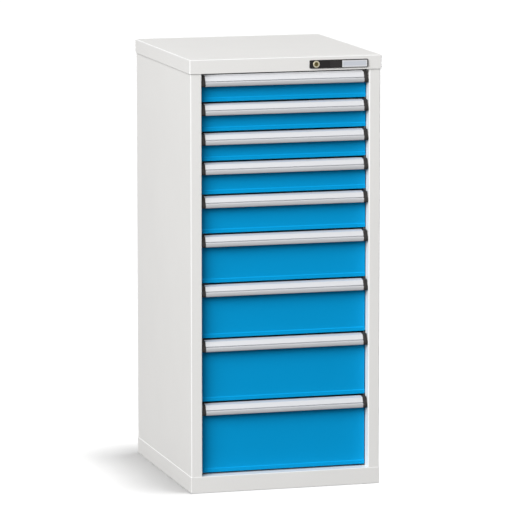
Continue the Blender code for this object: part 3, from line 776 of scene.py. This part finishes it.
class CABINET_OT_rivets(bpy.types.Operator):
    """Rivet heads up both rear flanges, which hold the back panel"""

    bl_idname = "cabinet.rivets"
    bl_label = "Rivets"

    def execute(self, context):
        sizes = context.scene.cabinet_sizes
        low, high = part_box("left_side_panel")
        x = low.x + sizes.rear_flange / 2
        seat = high.y - RIVET_SINK
        radius, rise = sizes.rivet_radius, sizes.rivet_rise + RIVET_SINK
        # A low cylinder, a dome above it, and the hole that the pulled pin leaves
        rim, dome, pin, pit = rise * 0.25, rise * 0.75, radius * 0.35, rise * 0.7
        profile = [(0, seat), (radius, seat)]
        profile += [
            (radius * math.cos(math.radians(angle)), seat + rim + dome * math.sin(math.radians(angle)))
            for angle in (0, 25, 50)
        ]
        profile += [(pin, seat + rise), (pin * 0.8, seat + pit), (0, seat + pit)]
        count = int((high.z - low.z - RIVET_ROOM) / sizes.rivet_pitch) + 1
        start = (low.z + high.z - (count - 1) * sizes.rivet_pitch) / 2
        head = new_object("back_rivets", lathe(profile, x, start, RIVET_STEPS))
        heads = grow(
            head, rivet_tree(), count=count, pitch=sizes.rivet_pitch,
            column_distance=-2 * x, material=finish_of("zinc_plated_steel"),
        )
        dress(heads, "zinc_plated_steel", "cabinet")
        return {"FINISHED"}


class CABINET_OT_drawer_fronts(bpy.types.Operator):
    """Blue drawer fronts: shallow folded pans whose lower edge steps forward"""

    bl_idname = "cabinet.drawer_fronts"
    bl_label = "Drawer fronts"

    def execute(self, context):
        sizes = context.scene.cabinet_sizes
        for number, body, node, low, high in each_drawer("front"):
            plane = front_plane(number, sizes)
            outline = [
                (high.y, high.z), (plane, high.z), (plane, low.z + sizes.lip_height + sizes.lip_step),
                (low.y, low.z + sizes.lip_height), (low.y, low.z), (high.y, low.z),
            ]
            bm = prism(outline, "X", low.x, high.x)
            layer = fold_highlight_layer(bm)
            drop_face(bm, (0, 1, 0))
            # Only the lip's sloping step looks both forward and up, towards the lamps, so it takes the
            # painted fold highlight
            step = max(bm.faces, key=lambda face: min(-face.normal.y, face.normal.z))
            step[layer] = 1.0
            # The step's own edges are blunter than 60 degrees, and stay as they are
            name = named_drawer(number, "pan")
            pan = fold_up(name, bm, sizes.front_radius, FRONT_FOLD_STEPS, sizes.front_sheet, 60.0)
            dress(pan, "blue_powder_coat", body, node)
        return {"FINISHED"}


class CABINET_OT_handle_rails(bpy.types.Operator):
    """Full-width handle rails: an aluminium extrusion with a groove under its sloping face"""

    bl_idname = "cabinet.handle_rails"
    bl_label = "Handle rails"

    def execute(self, context):
        for number, body, node, low, high in each_drawer("handle"):
            bm = prism(on_rail(number, RAIL_OUTSIDE + RAIL_INSIDE), "X", low.x, high.x)
            dress(new_object(named_drawer(number, "rail"), bm), "anodised_aluminium", body, node)
        return {"FINISHED"}


class CABINET_OT_end_caps(bpy.types.Operator):
    """Moulded end caps on both ends of every handle rail"""

    bl_idname = "cabinet.end_caps"
    bl_label = "End caps"

    def execute(self, context):
        sizes = context.scene.cabinet_sizes
        for number, body, *_ in each_drawer("handle"):
            for word in SIDES:
                node = named_drawer(number, word + "_cap")
                low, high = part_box(node)
                bm = bmesh.new()
                ends = add_prism(bm, on_rail(number, CAP_SECTION), "X", low.x, high.x)
                rims = [edge for face in ends for edge in face.edges]
                round_edges(bm, rims, sizes.cap_edge, CAP_EDGE_STEPS)
                cap = new_object(named_drawer(number, word + "_end"), bm)
                dress(cap, "black_plastic", body, node)
        return {"FINISHED"}


def slotted_wall_tree():
    """A flat wall with a grid of upright slots, each with round ends."""
    lengths = ("Length", "Height", "Pitch", "Row pitch", "Slot width", "Slot length", "Thickness")
    tree, given = new_growth(
        "slotted_wall", {**dict.fromkeys(lengths, "Float"), "Columns": "Int", "Rows": "Int"}
    )
    quadrilateral = "GeometryNodeCurvePrimitiveQuadrilateral"
    edge = add_node(tree, quadrilateral, {"Width": given["Length"], "Height": given["Height"]})
    slot = add_node(tree, quadrilateral, {"Width": given["Slot width"], "Height": given["Slot length"]})
    # Just under half of the width, so that the two arcs of a slot's end stay apart
    radius = add_node(tree, "ShaderNodeMath", {0: given["Slot width"], 1: 0.49}, operation="MULTIPLY")
    fillet = {"Curve": slot, "Radius": radius, "Count": 2}
    slot = add_node(tree, "GeometryNodeFilletCurve", fillet, mode="POLY")
    gaps = add_node(tree, "ShaderNodeMath", {0: given["Columns"], 1: 1.0}, operation="SUBTRACT")
    wide = add_node(tree, "ShaderNodeMath", {0: gaps, 1: given["Pitch"]}, operation="MULTIPLY")
    rises = add_node(tree, "ShaderNodeMath", {0: given["Rows"], 1: 1.0}, operation="SUBTRACT")
    tall = add_node(tree, "ShaderNodeMath", {0: rises, 1: given["Row pitch"]}, operation="MULTIPLY")
    grid = add_node(tree, "GeometryNodeMeshGrid", {
        "Size X": wide, "Size Y": tall, "Vertices X": given["Columns"], "Vertices Y": given["Rows"],
    })
    slots = add_node(tree, "GeometryNodeInstanceOnPoints", {"Points": grid, "Instance": slot})
    curves = add_node(tree, "GeometryNodeJoinGeometry", {0: slots})
    feed(tree, curves, {0: edge})
    real = add_node(tree, "GeometryNodeRealizeInstances", {0: curves})
    flat = add_node(tree, "GeometryNodeFillCurve", {0: real}, mode="TRIANGLES")
    risen = add_node(tree, "GeometryNodeExtrudeMesh", {
        "Mesh": flat, "Offset Scale": given["Thickness"], "Individual": False,
    })
    under = add_node(tree, "GeometryNodeFlipFaces", {"Mesh": flat})
    solid = add_node(tree, "GeometryNodeJoinGeometry", {0: risen})
    feed(tree, solid, {0: under})
    merged = add_node(tree, "GeometryNodeMergeByDistance", {"Geometry": solid, "Distance": 0.00001})
    final = add_node(tree, "GeometryNodeRealizeInstances", {0: merged})
    painted = add_node(tree, "GeometryNodeSetMaterial", {"Geometry": final, "Material": given["Material"]})
    add_node(tree, "NodeGroupOutput", {0: painted})
    return tree


class CABINET_OT_trays(bpy.types.Operator):
    """Trays: folded floor and runner hooks, slotted side walls for dividers, front and back walls"""

    bl_idname = "cabinet.trays"
    bl_label = "Trays"

    def execute(self, context):
        sizes = context.scene.cabinet_sizes
        tree = slotted_wall_tree()
        sheet, radius = sizes.tray_sheet, sizes.tray_radius
        for number, body, node, low, high in each_drawer("tray"):
            # The lock lug makes the node's box wider at the right than the hooks are
            hook = -low.x
            half = hook - sizes.hook_width
            inner = half - sheet
            top = high.z
            band_low = low.z + radius + TRAY_BAND_FOOT
            band_high = top - radius - TRAY_BAND_HEAD
            floor = [(half, band_low), (half, low.z), (-half, low.z), (-half, band_low)]
            leg = top - sizes.hook_drop + sheet
            left_hook = [(-half, band_high), (-half, top), (-hook, top), (-hook, leg)]
            right_hook = [(-x, z) for x, z in reversed(left_hook)]
            bm = bmesh.new()
            for bend in (floor, left_hook, right_hook):
                add_sheet(bm, bend, radius, TRAY_FOLD_STEPS, sheet, "Y", low.y, high.y)
            for start in (low.y + TRAY_END_INSET, high.y - TRAY_END_INSET - sheet):
                add_plate(bm, (-inner, start, low.z + sheet), (inner, start + sheet, top - TRAY_END_DROP))
            if high.x > hook + LUG_LEAST:
                lug_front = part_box("lock_bar")[1].y + LUG_CLEARANCE
                lug_back = lug_front + LUG_THICKNESS
                add_plate(bm, (hook, lug_front, top - LUG_FOOT_DROP), (high.x, lug_back, top - LUG_HEAD_DROP))
            box = new_object(named_drawer(number, "box"), bm)
            dress(box, "zinc_plated_steel", body, node)
            length, height = high.y - low.y, band_high - band_low
            columns = int((length - SLOT_END_ROOM) / sizes.slot_pitch)
            rows = max(1, int((height - SLOT_EDGE_ROOM) / sizes.slot_row))
            for word, start in (("left", -half), ("right", inner)):
                wall = grow(
                    new_object(named_drawer(number, word + "_wall"), bmesh.new()), tree, length=length,
                    height=height, pitch=sizes.slot_pitch, row_pitch=sizes.slot_row, thickness=sheet,
                    slot_width=sizes.slot_width, slot_length=sizes.slot_length, columns=columns, rows=rows,
                    material=finish_of("zinc_plated_steel"),
                )
                # The tree draws the wall lying down, its length along X
                wall.data.transform(Matrix((
                    (0, 0, 1, start), (1, 0, 0, (low.y + high.y) / 2), (0, 1, 0, (band_low + band_high) / 2),
                    (0, 0, 0, 1),
                )))
                dress(wall, "zinc_plated_steel", body)
        return {"FINISHED"}


class CABINET_OT_lock_strip(bpy.types.Operator):
    """Black strip on the cover's front: a lock seat, a groove, and a sunk field for the label"""

    bl_idname = "cabinet.lock_strip"
    bl_label = "Lock strip"

    def execute(self, context):
        sizes = context.scene.cabinet_sizes
        low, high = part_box("lock_strip")
        card_low, card_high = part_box("label_card")
        barrel_low, barrel_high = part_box("lock_barrel")
        front, back = low.y - STRIP_CUT, high.y + STRIP_CUT
        bm = bmesh.new()
        outline = rounded_rectangle(low.x, low.z, high.x, high.z, sizes.strip_corner, STRIP_CORNER_STEPS)
        near, _ = add_prism(bm, outline, "Y", low.y, high.y)
        round_edges(bm, list(near.edges), sizes.strip_edge, STRIP_EDGE_STEPS)
        strip = new_object("lock_strip_moulding", bm)
        outline = rounded_rectangle(
            card_low.x - SEAT_GAP, card_low.z - SEAT_GAP, card_high.x + SEAT_GAP, card_high.z + SEAT_GAP,
            FIELD_CORNER,
        )
        carve(strip, prism(outline, "Y", front, card_high.y + SEAT_GAP))
        carve(strip, lock_hole(front, back))
        foot, head, left = low.z + sizes.seat_margin, high.z - sizes.seat_margin, low.x + sizes.seat_margin
        seam = (barrel_low.x + barrel_high.x) / 2 + sizes.seat_reach
        seat_face = low.y + sizes.seat_depth
        line = card_low.x - LINE_OFFSET
        grooves = bmesh.new()
        add_plate(grooves, (left, front, foot), (seam, seat_face + SEAT_SHEET, head))
        add_plate(grooves, (line - LINE_WIDTH, front, foot), (line, low.y + LINE_WIDTH, head))
        carve(strip, grooves)
        dress(strip, "black_plastic", "cabinet", "lock_strip")
        outline = rounded_rectangle(left + SEAT_GAP, foot + SEAT_GAP, seam - SEAT_GAP, head - SEAT_GAP)
        seat = new_object("lock_seat", prism(outline, "Y", seat_face, seat_face + SEAT_SHEET))
        carve(seat, lock_hole(front, back))
        dress(seat, "black_plastic", "cabinet", finish="smooth_black_plastic")
        return {"FINISHED"}


class CABINET_OT_label(bpy.types.Operator):
    """Blank label card with a white border, sunk in the lock strip"""

    bl_idname = "cabinet.label"
    bl_label = "Label"

    def execute(self, context):
        sizes = context.scene.cabinet_sizes
        low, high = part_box("label_card")
        outer, inner = (
            rounded_rectangle(low.x + margin, low.z + margin, high.x - margin, high.z - margin)
            for margin in (0.0, sizes.label_border)
        )
        card = new_object("blank_card", prism(outer, "Y", low.y, high.y))
        dress(card, "label_card", "cabinet", "label_card")
        front, back = low.y - BORDER_FRONT, low.y - BORDER_BACK
        bm = bmesh.new()
        rings = [
            [bm.verts.new((x, y, z)) for x, z in ring]
            for ring, y in ((outer, front), (inner, front), (inner, back), (outer, back))
        ]
        for first, second in zip(rings, rings[1:] + rings[:1]):
            add_band(bm, first, second)
        bmesh.ops.recalc_face_normals(bm, faces=bm.faces)
        dress(new_object("card_border", bm), "label_card", "cabinet", finish="label_border")
        return {"FINISHED"}


class CABINET_OT_lock(bpy.types.Operator):
    """Cylinder lock: a plated bezel, and a plug with its keyhole, cam and pin"""

    bl_idname = "cabinet.lock"
    bl_label = "Lock"

    def execute(self, context):
        sizes = context.scene.cabinet_sizes
        low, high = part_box("lock_barrel")
        core_low, core_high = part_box("lock_core")
        middle = (low + high) / 2
        x, z = middle.x, middle.z
        core, rim = core_high.z - z, (high.x - low.x) / 2
        tube, seat = rim - BEZEL_FLANGE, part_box("lock_strip")[0].y - SEAT_GAP
        bore = core + SEAT_GAP
        profile = [(bore, low.y + SEAT_GAP), (bore, high.y), (tube, high.y), (tube, seat), (rim, seat)]
        for angle in (0, 30, 60, 90):
            inward, forward = (1 - turn(math.radians(angle)) for turn in (math.cos, math.sin))
            profile.append((rim - sizes.bezel_round * inward, low.y + sizes.bezel_round * forward))
        profile += [(core + outside, low.y + behind) for outside, behind in BEZEL_MOUTH]
        bezel = new_object("lock_bezel", lathe(profile, x, z, LOCK_STEPS))
        dress(bezel, "nickel_plated_lock", "cabinet", "lock_barrel")

        face, cam_front = core_low.y, core_high.y - CAM_REACH_BACK
        profile = [(core * share, face + behind) for share, behind in PLUG_DISH]
        profile += [
            (core - SEAT_GAP, face), (core, face + SEAT_GAP), (core, cam_front + PLUG_OVERLAP),
            (0, cam_front + PLUG_OVERLAP),
        ]
        plug = new_object("lock_plug", lathe(profile, x, z, LOCK_STEPS))
        outline = rounded_rectangle(
            x - CAM_HALF_WIDTH, z - CAM_HALF_WIDTH, core_high.x, z + CAM_HALF_WIDTH, CAM_CORNER,
            CAM_CORNER_STEPS,
        )
        carve(plug, prism(outline, "Y", cam_front, cam_front + CAM_THICKNESS), "UNION")
        start, end = cam_front + PIN_START, core_high.y
        profile = [
            (0, start), (PIN_RADIUS, start), (PIN_RADIUS, end - SEAT_GAP), (PIN_RADIUS - SEAT_GAP, end),
            (0, end),
        ]
        carve(plug, lathe(profile, core_high.x - CAM_HALF_WIDTH, z, PIN_STEPS), "UNION")
        outline = rounded_rectangle(
            x - KEYWAY_HALF_WIDTH, z - KEYWAY_HALF_HEIGHT, x + KEYWAY_HALF_WIDTH, z + KEYWAY_HALF_HEIGHT
        )
        carve(plug, prism(outline, "Y", face - KEYWAY_DEPTH, face + KEYWAY_DEPTH))
        dress(plug, "brass_lock_plug", "lock_core", "lock_core")
        return {"FINISHED"}


# The three front-left softboxes stand as far off as each other, at different heights; all aim at the middle
LAMP_AIM = Vector((0.0, 0.0, 0.65))
KEY_SIZE, FILL_SIZE = (14.0, 12.0), (4.0, 2.6)
KEY_PLACE, RAIL_KEY_PLACE = (-8.98, -8.97, 8.07), (-8.19, -8.19, 9.70)
TOP_RAIL_KEY_PLACE, FILL_PLACE = (-7.22, -7.22, 11.22), (5.0, 5.0, 1.6)
SUN_DIRECTION, SUN_ANGLE = Vector((0.0961, -0.0452, 1.0)), math.radians(13.5)
FLOOR_REACH = 40.0
# The floor's colour in scattered light, in mirrors and to the camera, and its glow to the camera
FLOOR_SCATTERED, FLOOR_MIRRORED, FLOOR_SEEN, FLOOR_GLOW = "585858", "C4C4C4", "F4F4F4", 0.077
SENSOR_WIDTH, CLIP_END = 36.0, 100.0
COVER_PIECES = (
    "lid", "lock_strip_moulding", "lock_seat", "blank_card", "card_border", "lock_bezel", "lock_plug",
)


def place_thing(name, data, place=(0, 0, 0)):
    """Puts a lamp or the camera in the scene."""
    made = bpy.data.objects.new(name, data)
    made.location = place
    bpy.context.scene.collection.objects.link(made)
    return made


class CABINET_OT_stage(bpy.types.Operator):
    """Pale floor, soft studio lamps, white surroundings and the camera"""

    bl_idname = "cabinet.stage"
    bl_label = "Stage"

    def softbox(self, name, place, size, level):
        """An oval lamp aimed at the cabinet, whose level is what it gives a face turned straight to it."""
        towards = LAMP_AIM - Vector(place)
        lamp = bpy.data.lights.new(name, "AREA")
        lamp.shape = "ELLIPSE"
        lamp.size, lamp.size_y = size
        lamp.energy = level * math.pi ** 2 * towards.length ** 2
        made = place_thing(name, lamp, place)
        made.rotation_euler = towards.to_track_quat("-Z", "Y").to_euler()
        return made

    def link(self, lamp, kind, state, names):
        """Leaves these things out of the lamp's receivers or blockers, or makes them its only ones."""
        group = bpy.data.collections.new(lamp.name + "_" + kind)
        for name in names:
            group.objects.link(bpy.data.objects[name])
        for member in group.collection_objects:
            member.light_linking.link_state = state
        setattr(lamp.light_linking, kind + "_collection", group)

    def make_floor(self):
        bm = bmesh.new()
        corners = [(-1, -1), (1, -1), (1, 1), (-1, 1)]
        bm.faces.new([bm.verts.new((x * FLOOR_REACH, y * FLOOR_REACH, 0.0)) for x, y in corners])
        floor = new_object("studio_floor", bm)
        material, tree, shader = new_material("white_studio_floor")
        path = add_node(tree, "ShaderNodeLightPath").outputs
        clear = {0: path["Is Glossy Ray"], 1: path["Is Transmission Ray"]}
        mirrored = add_node(tree, "ShaderNodeMath", clear, operation="MAXIMUM")
        colours = {0: mirrored, 6: linear(FLOOR_SCATTERED), 7: linear(FLOOR_MIRRORED)}
        unseen = add_node(tree, "ShaderNodeMix", colours, data_type="RGBA")
        colours = {0: path["Is Camera Ray"], 6: unseen.outputs[2], 7: linear(FLOOR_SEEN)}
        colour = add_node(tree, "ShaderNodeMix", colours, data_type="RGBA")
        shares = {0: path["Is Camera Ray"], 1: FLOOR_GLOW}
        glow = add_node(tree, "ShaderNodeMath", shares, operation="MULTIPLY")
        feed(tree, shader, {
            "Base Color": colour.outputs[2], "Roughness": 0.9, "Specular IOR Level": 0.0,
            "Emission Color": (1, 1, 1, 1), "Emission Strength": glow,
        })
        floor.data.materials.append(material)
        return floor

    def make_world(self, level):
        """Even light, which the camera and mirrored light see as plain white."""
        world = bpy.data.worlds.new("white_surroundings")
        world.use_nodes = True
        tree = world.node_tree
        tree.nodes.clear()
        path = add_node(tree, "ShaderNodeLightPath").outputs
        direct = {0: path["Is Camera Ray"], 1: path["Is Glossy Ray"]}
        direct = add_node(tree, "ShaderNodeMath", direct, operation="MAXIMUM")
        clear = {0: direct, 1: path["Is Transmission Ray"]}
        seen = add_node(tree, "ShaderNodeMath", clear, operation="MAXIMUM")
        even, white = (
            add_node(tree, "ShaderNodeBackground", {"Color": (1, 1, 1, 1), "Strength": strength})
            for strength in (level, 1.0)
        )
        mixed = add_node(tree, "ShaderNodeMixShader", {0: seen, 1: even, 2: white})
        add_node(tree, "ShaderNodeOutputWorld", {0: mixed})
        bpy.context.scene.world = world

    def execute(self, context):
        scene = context.scene
        stage = scene.cabinet_stage
        floor = self.make_floor()
        self.make_world(stage.sky_level)
        top_rail, *other_rails = (
            [named_drawer(number, piece) for piece in ("rail", "left_end", "right_end")] for number in DRAWERS
        )
        other_rails = sum(other_rails, [])
        key = self.softbox("front_left_softbox", KEY_PLACE, KEY_SIZE, stage.key_level)
        self.link(key, "receiver", "EXCLUDE", [floor.name] + top_rail + other_rails)
        key = self.softbox("rail_softbox", RAIL_KEY_PLACE, KEY_SIZE, stage.rail_level)
        self.link(key, "receiver", "INCLUDE", other_rails)
        # The lid would shade the rail just below it, which is as bright as the others
        key = self.softbox("top_rail_softbox", TOP_RAIL_KEY_PLACE, KEY_SIZE, stage.top_rail_level)
        self.link(key, "receiver", "INCLUDE", top_rail)
        self.link(key, "blocker", "EXCLUDE", COVER_PIECES)
        fill = self.softbox("back_right_softbox", FILL_PLACE, FILL_SIZE, stage.fill_level)
        self.link(fill, "receiver", "EXCLUDE", [floor.name])
        sun = bpy.data.lights.new("floor_sun", "SUN")
        sun.energy = stage.floor_sun * math.pi
        sun.angle = SUN_ANGLE
        steep = place_thing("floor_sun", sun)
        steep.rotation_euler = SUN_DIRECTION.to_track_quat("Z", "Y").to_euler()
        self.link(steep, "receiver", "INCLUDE", [floor.name])
        camera = bpy.data.cameras.new("camera")
        camera.lens = stage.camera_lens
        camera.sensor_width = SENSOR_WIDTH
        camera.clip_end = CLIP_END
        scene.camera = place_thing("camera", camera, stage.camera_place)
        scene.camera.rotation_euler = stage.camera_turn
        scene.view_settings.view_transform = "Standard"
        return {"FINISHED"}


OPERATORS = (
    CABINET_OT_side_panels, CABINET_OT_back_panel, CABINET_OT_top_cover, CABINET_OT_plinth,
    CABINET_OT_runner_walls, CABINET_OT_rivets, CABINET_OT_drawer_fronts, CABINET_OT_handle_rails,
    CABINET_OT_end_caps, CABINET_OT_trays, CABINET_OT_lock_strip, CABINET_OT_label, CABINET_OT_lock,
    CABINET_OT_stage,
)
GROUPS = {"cabinet_sizes": CabinetSizes, "cabinet_colours": CabinetColours, "cabinet_stage": CabinetStage}


class VIEW3D_PT_cabinet(bpy.types.Panel):
    """Lists the cabinet's pieces and settings in the sidebar"""

    bl_label = "Workshop drawer cabinet"
    bl_space_type = "VIEW_3D"
    bl_region_type = "UI"
    bl_category = "Cabinet"

    def draw(self, context):
        for operator in OPERATORS:
            self.layout.operator(operator.bl_idname)
        for name in GROUPS:
            group = getattr(context.scene, name)
            box = self.layout.box()
            for setting in group.bl_rna.properties.keys():
                if setting not in ("rna_type", "name"):
                    box.prop(group, setting)


def register():
    for name, group in GROUPS.items():
        bpy.utils.register_class(group)
        setattr(bpy.types.Scene, name, bpy.props.PointerProperty(type=group))
    for operator in OPERATORS:
        bpy.utils.register_class(operator)
    bpy.utils.register_class(VIEW3D_PT_cabinet)


def unregister():
    bpy.utils.unregister_class(VIEW3D_PT_cabinet)
    for operator in reversed(OPERATORS):
        bpy.utils.unregister_class(operator)
    for name, group in GROUPS.items():
        delattr(bpy.types.Scene, name)
        bpy.utils.unregister_class(group)


def main():
    register()
    for operator in OPERATORS:
        group, name = operator.bl_idname.split(".")
        getattr(getattr(bpy.ops, group), name)()


if __name__ == "__main__":
    main()
